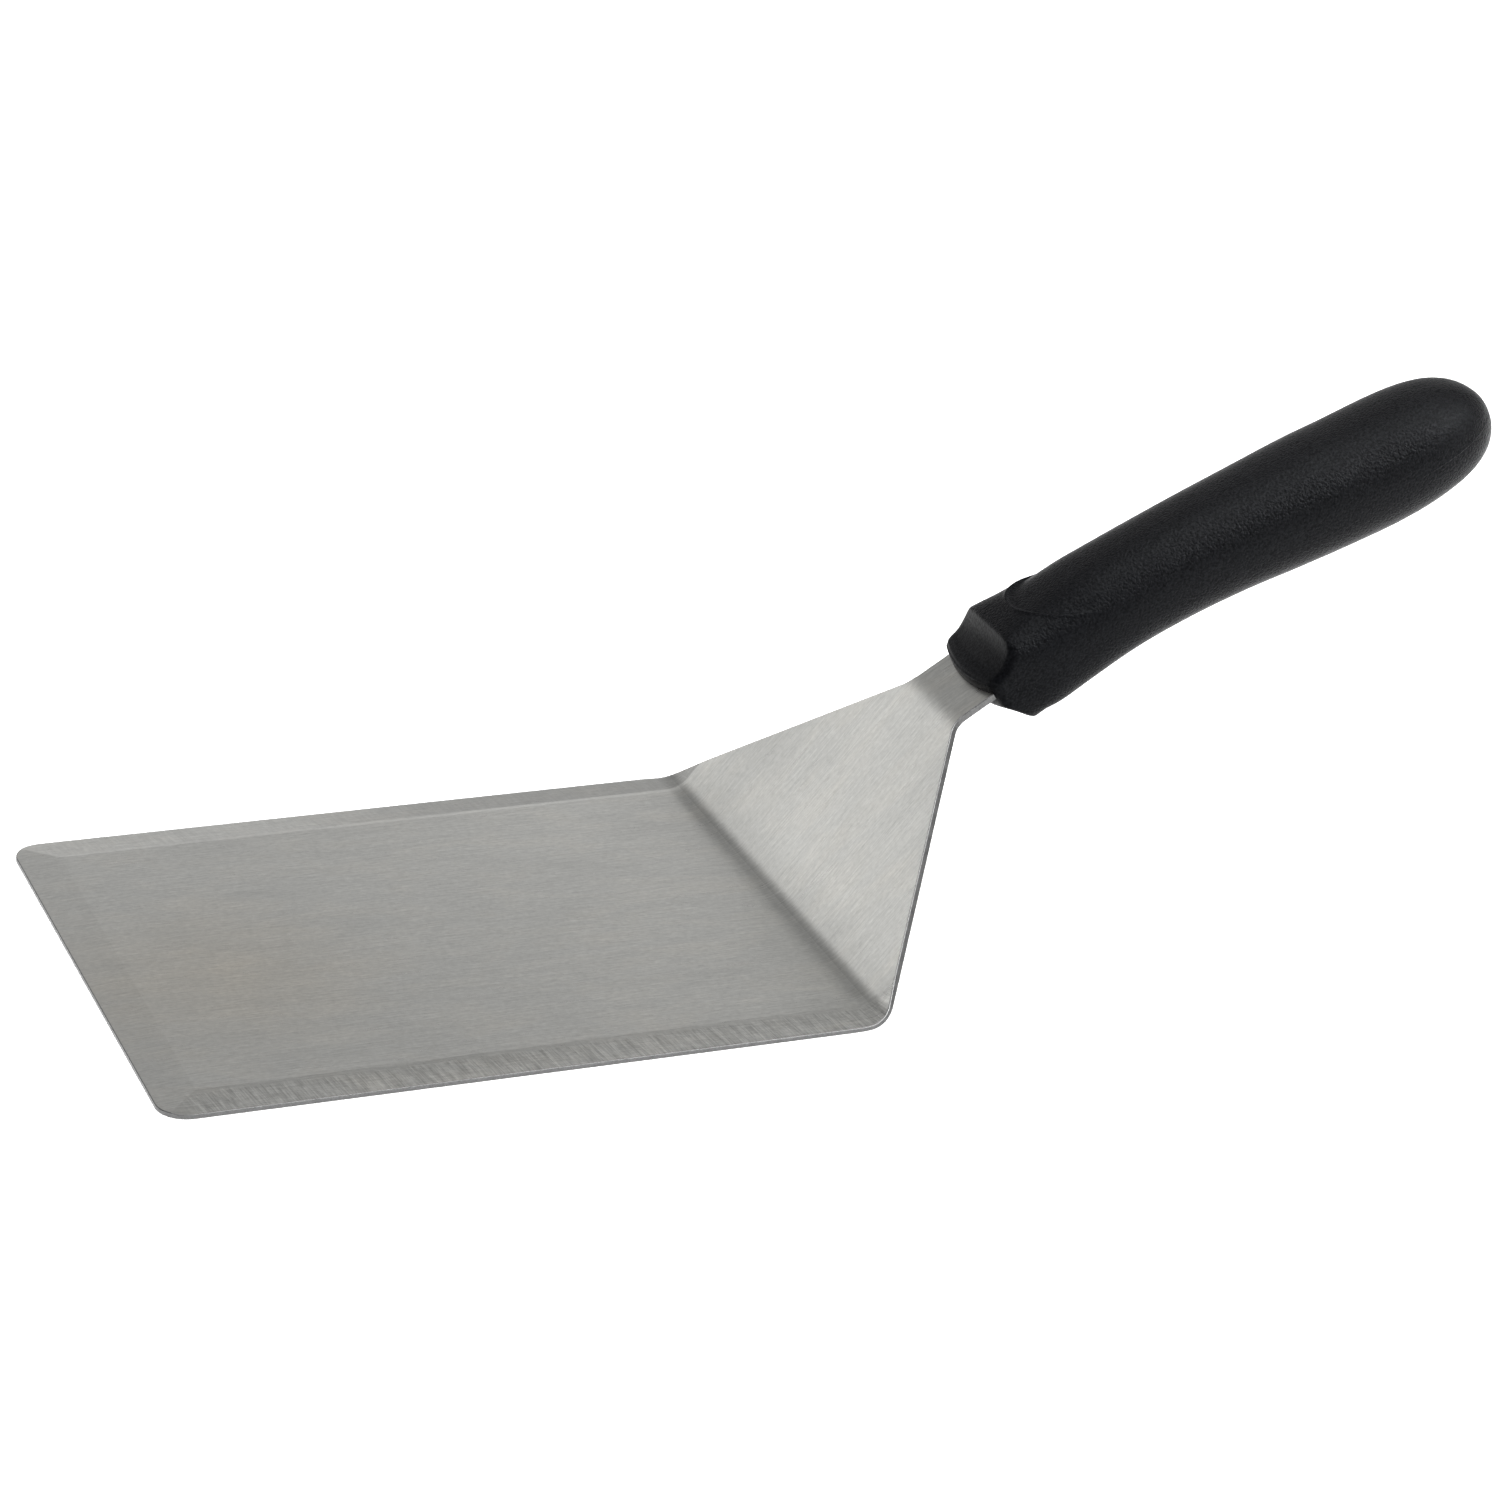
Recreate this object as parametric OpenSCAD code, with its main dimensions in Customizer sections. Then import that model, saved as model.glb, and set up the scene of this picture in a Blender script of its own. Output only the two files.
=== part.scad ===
// Offset spatula: one bent sheet of steel, with a handle moulded round its tang.
// The origin is the centre of the blade's flat underside. +X points from the
// leading edge towards the handle, +Z up.

/* [Blade] */
// Length of the blade, from the leading edge to the lower bend line
blade_length = 152.4; // [120:0.1:200]
// Width of the blade
blade_width = 127; // [100:0.5:150]
// Thickness of the steel sheet
sheet = 1.5; // [1.2:0.1:2]
// Radius of the two front corners
front_corner_r = 6.5; // [3:0.5:12]
// Width of the ground band along each free edge of the blade
bevel_width = 9; // [6:0.5:12]
// Thickness of the steel left at the ground edges
edge_thickness = 1; // [0.6:0.1:1.1]

/* [Riser and neck] */
// Length of the tapering riser, from the lower to the upper bend line
riser_length = 54.4; // [45:0.1:70]
// Slope of the riser, in degrees above the blade
riser_angle = 50; // [40:1:60]
// Slope of the neck and tang, in degrees above the blade
neck_angle = 32.4; // [25:0.1:38]
// Width of the neck
neck_width = 23.2; // [21:0.1:24]
// Inside radius of the bend between blade and riser
lower_bend_r = 6.5; // [4:0.5:6.5]
// Inside radius of the bend between riser and neck
upper_bend_r = 11.7; // [4:0.1:11.8]
// Radius of the outer corners, where the riser starts to taper
shoulder_r = 8; // [5:0.5:8]
// Radius of the inner corners, where the riser meets the neck
neck_corner_r = 6; // [3:0.5:10]

/* [Tang] */
// Length of the neck and tang, from the upper bend line to the tang's round end
tang_length = 60; // [52:1:62]
// Width of the tang inside the core
tang_width = 13; // [11:0.5:14]
// Diameter of the holes that lock the tang in the core
lock_hole_d = 6; // [4:0.5:7]
// Number of locking holes
lock_holes = 2; // [1:1:2]

/* [Handle] */
// Distance from the upper bend line to the middle of the handle's lip
lip_at = 8.2; // [7:0.1:9]
// Distance from the upper bend line to the handle's round end
handle_end = 139; // [132:1:150]
// Depth of the thumb dish behind the crescent ridge
dish_depth = 0.9; // [0.4:0.1:1.2]
// Thickness of the grip over the core's top and bottom
grip_wall = 4.6; // [4.2:0.1:5.5]
// Width of the core
core_width = 17; // [16:0.5:18]
// Height of the core's locking ribs
rib_height = 1.2; // [0.8:0.1:1.5]

/* [Hidden] */
$fn = 64;

half_blade = blade_width / 2;
half_sheet = sheet / 2;
far = 400;                  // longer than the whole spatula, for cutting prisms
over = 1;                   // how far a cutter runs past the steel

// Distance from each bend line back to where its curve starts
lower_mid_r = lower_bend_r + half_sheet;
upper_mid_r = upper_bend_r + half_sheet;
upper_turn = riser_angle - neck_angle;
lower_set = lower_mid_r * tan(riser_angle / 2);
upper_set = upper_mid_r * tan(upper_turn / 2);

// Stretches of the tang, from the upper bend line
shoulder_at = 20;           // the neck starts to narrow
tang_at = 25;               // the tang has its own width
lock_pitch = 15;
first_lock_at = 33;

// The core, from the upper bend line
core_at = 26;
core_end = 126;
core_step = 5;
rib_width = 2.4;
rib_places = [48, 66, 84, 102];

// The handle's sections: distance from the upper bend line, height of the
// section's centre over the tang, half width, half height and squareness
// (2 is an ellipse, more is nearer to a rectangle)
collar_at = 18.5;
butt_at = 108;
sections = [
    [collar_at, -1.3, 13.3, 10.4, 4.5],
    [24, -2.05, 13.4, 11.35, 3.2],
    [32, -2.5, 13.3, 11.3, 2.8],
    [42, -3.15, 13.2, 11.2, 2.5],
    [56, -4.7, 13.2, 11.45, 2.35],
    [70, -6.9, 13.6, 11.9, 2.3],
    [84, -9.65, 14.3, 12.5, 2.3],
    [98, -12.3, 14.8, 13, 2.3],
    [butt_at, -14.25, 14.8, 13.05, 2.3],
    [124, -16.2, 14.8, 12.55, 2.3],
    [handle_end, -17.35, 14.8, 12.75, 2.3]
];

// Side view of the nose: the height of its hollow faces over and under the
// tang, by the distance behind the lip's front edge
upper_face = [[0, 1.2], [0.4, 2.7], [1.2, 3.5], [3, 4], [5, 4.6], [7.5, 5.8], [9.5, 7.6], [11, 10], [13, 14]];
under_face = [[0, 1.2], [0.4, 2.8], [1.2, 4], [2.5, 5.6], [4.5, 8], [6.5, 10.6], [8.5, 13], [13, 20]];
nose_length = 13;
lip_bow_r = 33;             // plan radius of the lip's front edge
lip_narrowing = 0.05;       // how much narrower the lip's front edge is
lip_depth = 2;              // length over which the lip widens to the collar
nose_stops = [0, 0.4, 1.2, 2.1, 3, 4, 5, 6.3, 7.5, 8.5, 9.5, 10.2];

// The thumb dish: half of an ellipse, open towards the butt
dish_centre = 39;
dish_reach = 14;
dish_half_width = 12;
dish_wall = 0.1;            // share of the ellipse over which its floor drops
dish_full = 3;              // length of the floor at full depth
dish_fade = 15;             // length over which its floor rises again

butt_fullness = 3.4;         // 2 rounds the butt as an ellipse, more is fuller

body_rings = 44;
butt_rings = 10;
butt_tip = 0.05;            // size of the last ring, against a whole section
section_points = 48;

// Linear blend between a and b, and an ease from 0 to 1 with flat ends
function mix(a, b, t) = a + (b - a) * t;
function ease(t) = t <= 0 ? 0 : t >= 1 ? 1 : t * t * (3 - 2 * t);

// Smooth curve through four values, for t from 0 to 1 between b and c
function curve(a, b, c, d, t) =
    b + 0.5 * t * (c - a + t * (2 * a - 5 * b + 4 * c - d + t * (3 * (b - c) + d - a)));

// The handle's section at distance x from the upper bend line
function last_before(x, i = 0) =
    i >= len(sections) - 2 || sections[i + 1][0] > x ? i : last_before(x, i + 1);
function section_at(x) =
    let (
        i = last_before(x),
        before = sections[max(i - 1, 0)],
        start = sections[i],
        stop = sections[i + 1],
        after = sections[min(i + 2, len(sections) - 1)],
        t = (x - start[0]) / (stop[0] - start[0])
    )
    [for (k = [0:4]) k == 0 ? x : curve(before[k], start[k], stop[k], after[k], t)];

// How far the thumb dish sinks the top at distance x, off the centreline by y
function dish(x, y) =
    let (
        along = min(x - dish_centre, 0) / dish_reach,
        inside = 1 - norm([along, y / dish_half_width]),
        back = (x - dish_centre + dish_reach - dish_full) / dish_fade
    )
    dish_depth * ease(inside / dish_wall) * (1 - ease(back));

// One ring of points round a section, shrunk by k towards its centre
function signed_power(v, p) = sign(v) * pow(abs(v), p);
function ring(s, k = 1) = [
    for (i = [0:section_points - 1])
        let (
            angle = 360 * i / section_points,
            y = k * s[2] * signed_power(cos(angle), 2 / s[4]),
            z = k * s[3] * signed_power(sin(angle), 2 / s[4]),
            sunk = z > 0 ? dish(s[0], y) : 0
        )
        [s[0], y, s[1] + z - sunk]
];

// A ring of the nose, at distance d behind the lip's front edge: the collar's
// section, cut off by the two hollow faces
function nose_ring(d) = [
    for (p = ring(section_at(collar_at)))
        let (
            y = p[1] * (1 - lip_narrowing * (1 - min(d, lip_depth) / lip_depth)),
            set_back = y * y / (2 * lip_bow_r) * (1 - d / nose_length),
            top = lookup(d, upper_face),
            bottom = lookup(d, under_face)
        )
        [lip_at + d + set_back, y, min(max(p[2], -bottom), top)]
];

// A closed skin over a list of rings; the first ring is closed by upright strips
module skin(rings) {
    n = len(rings[0]);
    last = len(rings) - 1;
    sides = [
        for (r = [0:last - 1], i = [0:n - 1])
            let (j = (i + 1) % n)
            [r * n + i, r * n + j, (r + 1) * n + j, (r + 1) * n + i]
    ];
    front = [
        for (i = [0:n / 2 - 1])
            i == 0 ? [1, 0, n - 1] : i == n / 2 - 1 ? [i + 1, i, n - i] : [i + 1, i, n - i, n - i - 1]
    ];
    back = [[for (i = [0:n - 1]) last * n + i]];
    polyhedron(points = [for (r = rings) each r], faces = concat(front, sides, back));
}

// Frames along the steel: each has its origin on a bend line, +X along the
// sheet, +Z out of its upper face
module riser_frame() {
    translate([blade_length / 2, 0, half_sheet]) rotate([0, -riser_angle, 0]) children();
}
module neck_frame() {
    riser_frame() translate([riser_length, 0, 0]) rotate([0, upper_turn, 0]) children();
}

// A straight run of a section, along +X from x0 to x1
module run(x0, x1) {
    translate([x0, 0, 0]) rotate([90, 0, 90]) linear_extrude(x1 - x0) children();
}

// A section of the sheet, swept over the blade, the lower bend and the riser
module blade_sweep() {
    translate([0, 0, half_sheet])
        run(-blade_length / 2 - over, blade_length / 2 - lower_set) children();
    translate([blade_length / 2 - lower_set, 0, half_sheet + lower_mid_r])
        rotate([90, 90, 0])
            rotate_extrude(angle = riser_angle)
                translate([lower_mid_r, 0]) rotate(90) children();
    riser_frame() run(lower_set, riser_length - upper_set) children();
}

// What rounding a corner takes off: p is the corner, a and b are the directions
// of its two edges in degrees, and the piece runs past both edges
module corner_waste(p, a, b, r) {
    half = abs(a - b) / 2;
    middle = [cos((a + b) / 2), sin((a + b) / 2)];
    centre = p + r / sin(half) * middle;
    touch_a = p + r / tan(half) * [cos(a), sin(a)];
    touch_b = p + r / tan(half) * [cos(b), sin(b)];
    difference() {
        polygon([
            centre,
            touch_a,
            touch_a + over / r * (touch_a - centre),
            p - over / sin(half) * middle,
            touch_b + over / r * (touch_b - centre),
            touch_b
        ]);
        translate(centre) circle(r);
    }
}

// What the blade's front corners lose, in the blade's plane
module front_waste() {
    for (side = [-1, 1])
        corner_waste([-blade_length / 2, side * half_blade], 0, -side * 90, front_corner_r);
}

// Outline of the riser, in its own plane
module riser_outline() {
    half_neck = neck_width / 2;
    taper = atan((half_blade - half_neck) / riser_length);
    reach = neck_corner_r * tan(taper / 2);
    before = [riser_length - reach * cos(taper), half_neck + reach * sin(taper)];
    centre = [riser_length + reach, half_neck + neck_corner_r];
    side = [[-far, half_blade], [0, half_blade], before, centre, [centre[0], half_neck], [far, half_neck]];
    difference() {
        polygon(concat(side, [for (i = [len(side) - 1:-1:0]) [side[i][0], -side[i][1]]]));
        for (k = [-1, 1]) {
            translate([centre[0], k * centre[1]]) circle(neck_corner_r);
            corner_waste([0, k * half_blade], -k * 180, -k * taper, shoulder_r);
        }
    }
}

// What the tang loses beside and behind its own outline, in its plane
module tang_waste() {
    half_neck = neck_width / 2;
    half_tang = tang_width / 2;
    difference() {
        translate([shoulder_at, -neck_width]) square([tang_length, 2 * neck_width]);
        polygon([
            [shoulder_at, -half_neck], [tang_at, -half_tang], [tang_length - half_tang, -half_tang],
            [tang_length - half_tang, half_tang], [tang_at, half_tang], [shoulder_at, half_neck]
        ]);
        translate([tang_length - half_tang, 0]) circle(half_tang);
    }
}

// The steel that the two side bands grind away, as a section of the sheet
module side_band_waste() {
    drop = (sheet - edge_thickness) / bevel_width;
    for (side = [-1, 1])
        polygon([
            [side * (half_blade - bevel_width), half_sheet],
            [side * (half_blade + over), half_sheet - drop * (bevel_width + over)],
            [side * (half_blade + over), half_sheet + over],
            [side * (half_blade - bevel_width), half_sheet + over]
        ]);
}

// The steel that the leading band grinds away
module leading_band_waste() {
    drop = (sheet - edge_thickness) / bevel_width;
    rotate([90, 0, 0])
        linear_extrude(blade_width + 2 * over, center = true)
            polygon([
                [-blade_length / 2 + bevel_width, sheet],
                [-blade_length / 2 - over, sheet - drop * (bevel_width + over)],
                [-blade_length / 2 - over, sheet + over],
                [-blade_length / 2 + bevel_width, sheet + over]
            ]);
}

// Points on the side view of the sheet, given along the riser or the neck
function on_riser(x, z) = [
    blade_length / 2 + x * cos(riser_angle) - z * sin(riser_angle),
    half_sheet + x * sin(riser_angle) + z * cos(riser_angle)
];
function on_neck(x, z) =
    on_riser(riser_length + x * cos(upper_turn) + z * sin(upper_turn), z * cos(upper_turn) - x * sin(upper_turn));

// Side view of the bent sheet
module side_view() {
    lower_inner = [blade_length / 2 - lower_set, sheet + lower_bend_r];
    upper_inner = on_riser(riser_length - upper_set, -half_sheet - upper_bend_r);
    lower_outer = [blade_length / 2 + half_sheet * tan(riser_angle / 2), 0];
    upper_outer = on_riser(riser_length + half_sheet * tan(upper_turn / 2), half_sheet);
    difference() {
        polygon([
            [-blade_length / 2, 0],
            lower_outer,
            on_riser(riser_length - upper_set, -half_sheet),
            upper_inner,
            on_neck(upper_set, -half_sheet),
            on_neck(tang_length, -half_sheet),
            on_neck(tang_length, half_sheet),
            upper_outer,
            on_riser(lower_set, half_sheet),
            lower_inner,
            [lower_inner[0], sheet],
            [-blade_length / 2, sheet]
        ]);
        translate(lower_inner) circle(lower_bend_r);
        translate(upper_inner) circle(upper_bend_r);
        corner_waste(lower_outer, 180, riser_angle, lower_bend_r + sheet);
        corner_waste(upper_outer, riser_angle - 180, neck_angle, upper_bend_r + sheet);
    }
}

// The bent sheet, before its bands are ground and its holes punched
module steel_blank() {
    difference() {
        intersection() {
            rotate([90, 0, 0]) linear_extrude(blade_width + 2 * over, center = true) side_view();
            riser_frame() linear_extrude(far, center = true) riser_outline();
        }
        linear_extrude(4 * sheet, center = true) front_waste();
        neck_frame() linear_extrude(4 * sheet, center = true) tang_waste();
    }
}

module lock_hole_pins() {
    neck_frame()
        for (i = [0:lock_holes - 1])
            translate([first_lock_at + i * lock_pitch, 0, 0])
                cylinder(d = lock_hole_d, h = 4 * sheet, center = true);
}

// Blade, riser, neck and hidden tang: one stamped, ground and bent sheet
module blade() {
    color([0.66, 0.66, 0.63])
        difference() {
            steel_blank();
            blade_sweep() side_band_waste();
            leading_band_waste();
            lock_hole_pins();
        }
}

// The core's outer shape, in the neck's frame, with its faces moved out by grow
module core_body(grow = 0) {
    places = [for (x = [core_at:core_step:core_end]) section_at(x)];
    inset = grip_wall - grow;
    rotate([90, 0, 0])
        linear_extrude(core_width + 2 * grow, center = true)
            polygon(concat(
                [for (s = places) [s[0], s[1] + s[3] - inset]],
                [for (i = [len(places) - 1:-1:0]) [places[i][0], places[i][1] - places[i][3] + inset]]
            ));
}

module core_with_ribs() {
    core_body();
    intersection() {
        core_body(rib_height);
        for (x = rib_places)
            translate([x, -far / 2, -far / 2]) cube([rib_width, far, far]);
    }
}

// Inner moulding: grips the tang, and fills its holes with two pegs
module handle_core() {
    color([0.16, 0.16, 0.17])
        difference() {
            neck_frame() core_with_ribs();
            difference() {
                steel_blank();
                lock_hole_pins();
            }
        }
}

// The handle's outer shape, in the neck's frame
module grip_body() {
    body_at = lip_at + nose_stops[len(nose_stops) - 1] + 1;
    skin(concat(
        [for (d = nose_stops) nose_ring(d)],
        [for (i = [0:body_rings]) ring(section_at(mix(body_at, butt_at, i / body_rings)))],
        [
            for (i = [1:butt_rings - 1])
                let (angle = 90 * i / butt_rings)
                ring(section_at(mix(butt_at, handle_end, pow(sin(angle), 2 / butt_fullness))), cos(angle))
        ],
        [ring(section_at(handle_end), butt_tip)]
    ));
}

// Outer moulding: the grip that the hand holds, closed round core and neck
module handle_grip() {
    color([0.07, 0.07, 0.08])
        difference() {
            neck_frame() grip_body();
            neck_frame() core_with_ribs();
            steel_blank();
        }
}

blade();
handle_core();
handle_grip();
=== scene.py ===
from math import atan, cos, pi, radians, sin, tan

import bmesh
import bpy
import numpy as np
from mathutils import Matrix, Vector


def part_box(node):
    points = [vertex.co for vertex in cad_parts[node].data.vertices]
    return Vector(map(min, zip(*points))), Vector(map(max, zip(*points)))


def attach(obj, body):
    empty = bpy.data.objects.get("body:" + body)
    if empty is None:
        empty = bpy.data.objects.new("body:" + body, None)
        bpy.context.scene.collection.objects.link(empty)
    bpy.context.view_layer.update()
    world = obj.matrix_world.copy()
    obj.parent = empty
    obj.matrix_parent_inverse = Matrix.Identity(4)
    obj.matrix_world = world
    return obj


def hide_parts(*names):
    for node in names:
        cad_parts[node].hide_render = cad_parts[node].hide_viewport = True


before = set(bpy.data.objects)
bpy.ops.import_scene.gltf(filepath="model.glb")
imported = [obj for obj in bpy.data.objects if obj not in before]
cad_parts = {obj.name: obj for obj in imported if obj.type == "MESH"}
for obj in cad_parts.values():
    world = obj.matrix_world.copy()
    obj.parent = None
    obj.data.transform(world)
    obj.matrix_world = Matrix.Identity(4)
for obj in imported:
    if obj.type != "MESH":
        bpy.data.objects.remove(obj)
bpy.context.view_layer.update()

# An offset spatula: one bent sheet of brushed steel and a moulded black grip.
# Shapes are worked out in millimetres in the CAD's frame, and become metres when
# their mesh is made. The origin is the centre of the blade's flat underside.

MM = 0.001

# ---------------------------------------------------------------- sizes, in mm

blade_low, blade_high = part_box("blade")
LEADING = blade_low[0] / MM         # x of the blade's leading edge
HALF_BLADE = blade_high[1] / MM
BLADE_LENGTH = 152.4                # leading edge to lower bend line
SHEET = 1.5
GROUND_EDGE = 1.0                   # thickness left at the ground edges
BAND = 9.0                          # width of the ground bands
CORNER_R = 6.5
RISER_LENGTH = 54.4
RISER_SLOPE = radians(50)
NECK_SLOPE = radians(32.4)
HALF_NECK = 11.6
SHOULDER_R = 12.0
NECK_CORNER_R = 6.0
TANG_LENGTH = 60.0
HALF_TANG = 6.5
NARROWING = (20.0, 25.0)            # stretch where the neck becomes the tang
LOCK_HOLES = (33.0, 48.0)
LOCK_HOLE_R = 3.0
EDGE_R = 0.2                        # rounding left on the sheet's edges

# The bends, along the sheet's middle layer
LOWER_R = 6.5 + SHEET / 2
UPPER_R = 11.7 + SHEET / 2
UPPER_TURN = RISER_SLOPE - NECK_SLOPE
LOWER_SET = LOWER_R * tan(RISER_SLOPE / 2)
UPPER_SET = UPPER_R * tan(UPPER_TURN / 2)
LOWER_AT = BLADE_LENGTH - LOWER_SET
LOWER_END = LOWER_AT + LOWER_R * RISER_SLOPE
UPPER_AT = LOWER_END + RISER_LENGTH - LOWER_SET - UPPER_SET
UPPER_END = UPPER_AT + UPPER_R * UPPER_TURN
NECK_START = UPPER_END - UPPER_SET  # blank distance of the upper bend line
TAPER = atan((HALF_BLADE - HALF_NECK) / RISER_LENGTH)

# The grip's sections: distance from the upper bend line, height of the centre
# over the tang, half width, half height, squareness (2 is an ellipse)
COLLAR_AT, BUTT_AT, GRIP_END = 18.5, 108.0, 139.0
SECTIONS = np.array([
    (COLLAR_AT, -1.3, 13.3, 10.4, 4.5), (24, -2.05, 13.4, 11.35, 3.2),
    (32, -2.5, 13.3, 11.3, 2.8), (42, -3.15, 13.2, 11.2, 2.5),
    (56, -4.7, 13.2, 11.45, 2.35), (70, -6.9, 13.6, 11.9, 2.3),
    (84, -9.65, 14.3, 12.5, 2.3), (98, -12.3, 14.8, 13.0, 2.3),
    (BUTT_AT, -14.25, 14.8, 13.05, 2.3), (124, -16.2, 14.8, 12.55, 2.3),
    (GRIP_END, -17.35, 14.8, 12.75, 2.3),
])
BUTT_FULLNESS = 3.4                 # 2 rounds the butt as an ellipse, more is fuller

# Heights of the nose's hollow faces, by distance behind the lip's front edge
UPPER_FACE = ((0, 0.15, 0.8, 2.2, 4.5, 7, 9, 10.5, 11.4, 12.2, 13.2),
              (0.95, 2.2, 3.3, 3.9, 4.4, 5.6, 7.2, 9.0, 10.6, 12.5, 15.5))
UNDER_FACE = ((0, 0.15, 0.8, 1.8, 3.5, 5, 6.5, 8, 9.2),
              (0.95, 2.3, 3.7, 4.9, 6.9, 8.8, 10.6, 12.4, 14))
NO_FACE = 99                        # a height that is clear of the whole grip
LIP_AT = 8.2                        # from the upper bend line
LIP_BOW_R = 33.0                    # radius of the lip's front edge, seen from above
LIP_NARROWING = 0.05                # how much narrower than the body the lip is
NOSE_LENGTH = 13.0
DISH_CENTRE, DISH_REACH, DISH_HALF_WIDTH = 39.0, 14.0, 12.0
DISH_DEPTH = 0.95
DISH_WALL = 0.1                     # share of the dish that its sloping wall takes up
DISH_FADE = (28, 15)                # where the dish starts to run out, and over what length
DISH_RIM = 0.28                     # how far the crescent stands up round the dish
RIM_HALF_WIDTH = 0.035              # half width of the crescent, as a share of the dish
RIM_FADE = (35, 10)
SEAM_FROM = 112.0                   # where the mould's parting line starts to show
SEAM_LENGTH = 12                    # distance over which it rises to its full height
SEAM_HEIGHT, SEAM_HALF_WIDTH = 0.09, 0.14
GRIP_COLUMNS = 300
HALVINGS = 30                       # steps of the search for the nose's surface

# ------------------------------------------------------- tones, lamps and camera

FLOOR_GLOW = 0.33                   # lifts the pale floor to paper white
STEEL = (0.530, 0.529, 0.507, 1)
WARM_STEEL = (0.540, 0.505, 0.440, 1)
NEAR_BAND = (0.93, 1.08)            # tone of the band on the -y side, inner line to edge
FAR_BAND = (0.96, 0.64)             # tone of the band on the +y side, front to riser

# Sine of the height over the horizon, and the tone of the surroundings there
SKY = ((0.0, 0.85), (0.32, 0.74), (0.40, 0.66), (0.45, 0.57), (0.52, 0.45), (0.60, 0.33),
       (1.0, 0.30))
# Softboxes: name, place and size in metres, power in watts, whether it casts a shadow
SOFTBOXES = (("overhead", (0.15, -0.05, 1.8), (1.5, 1.5), 38, True),
             ("far left", (-0.88, 1.50, 0.54), (1.3, 0.6), 1.1, True),
             ("front right", (1.00, -0.80, 1.25), (0.5, 0.5), 34, False))
LAMP_TARGET = (0.05, 0.0, 0.03)
CAMERA_AT, CAMERA_TARGET = (-0.28697, -0.83521, 0.43794), (0.06888, 0.0, 0.03593)
CAMERA_ROLL = radians(3.749)
FOCAL_LENGTH, SENSOR_WIDTH = 111.94, 36.0


# ------------------------------------------------------------------ mesh helpers

def new_object(name, mesh):
    """A mesh as an object in the scene."""
    piece = bpy.data.objects.new(name, mesh)
    bpy.context.scene.collection.objects.link(piece)
    return piece


def grid(points):
    """The quads of a rectangular array of corner values, as (count, 4, values)."""
    p = np.asarray(points, float)
    quads = np.stack([p[:-1, :-1], p[1:, :-1], p[1:, 1:], p[:-1, 1:]], axis=2)
    return quads.reshape(-1, 4, p.shape[2])


def smooth_curve(x, knots, values):
    """A smooth curve through the values at the knots, read at every x."""
    knots, values = np.asarray(knots, float), np.asarray(values, float)
    step = np.diff(knots)
    slope = np.diff(values) / step
    inner = (step[:-1] * slope[1:] + step[1:] * slope[:-1]) / (step[:-1] + step[1:])
    tangent = np.concatenate([slope[:1], inner, slope[-1:]])
    x = np.clip(x, knots[0], knots[-1])
    i = np.clip(np.searchsorted(knots, x, side="right") - 1, 0, len(step) - 1)
    h, t = step[i], (x - knots[i]) / step[i]
    return ((1 + 2 * t) * (1 - t) ** 2 * values[i] + t * (1 - t) ** 2 * h * tangent[i]
            + t * t * (3 - 2 * t) * values[i + 1] + t * t * (t - 1) * h * tangent[i + 1])


def ease(t):
    """0 to 1 with flat ends."""
    t = np.clip(t, 0, 1)
    return t * t * (3 - 2 * t)


def lowest(mesh):
    """The height of the mesh's lowest corner."""
    return min(corner.co.z for corner in mesh.vertices)


def subtract(piece, cutter):
    """Cuts the cutter's volume out of the piece, and removes the cutter.

    A cut that reaches below the piece has left some of the cutter in it, so it is dropped.
    """
    cut = piece.modifiers.new("cut", "BOOLEAN")
    cut.object, cut.solver = cutter, "EXACT"
    view = bpy.context.evaluated_depsgraph_get()
    mesh = bpy.data.meshes.new_from_object(piece.evaluated_get(view))
    piece.modifiers.remove(cut)
    failed = lowest(mesh) < lowest(piece.data) - 0.0001
    old, piece.data = (mesh, piece.data) if failed else (piece.data, mesh)
    piece.data.name = old.name
    bpy.data.meshes.remove(old)
    bpy.data.meshes.remove(cutter.data)


# --------------------------------------------------------------- the steel sheet

def middle(s):
    """x, z and slope of the sheet's middle layer, at distance s along the blank."""
    low = np.clip((s - LOWER_AT) / LOWER_R, 0, RISER_SLOPE)
    up = np.clip((s - UPPER_AT) / UPPER_R, 0, UPPER_TURN)
    riser = np.clip(s - LOWER_END, 0, UPPER_AT - LOWER_END)
    neck = np.maximum(s - UPPER_END, 0)
    x = (LEADING + np.minimum(s, LOWER_AT) + LOWER_R * np.sin(low) + riser * cos(RISER_SLOPE)
         + UPPER_R * (sin(RISER_SLOPE) - np.sin(RISER_SLOPE - up)) + neck * cos(NECK_SLOPE))
    z = (SHEET / 2 + LOWER_R * (1 - np.cos(low)) + riser * sin(RISER_SLOPE)
         + UPPER_R * (np.cos(RISER_SLOPE - up) - cos(RISER_SLOPE)) + neck * sin(NECK_SLOPE))
    return x, z, low - up


def fold(s, y, n):
    """Points of the flat blank, n over its middle layer, on the bent sheet."""
    x, z, slope = middle(s)
    return np.stack([x - n * np.sin(slope), y, z + n * np.cos(slope)], axis=-1)


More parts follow.
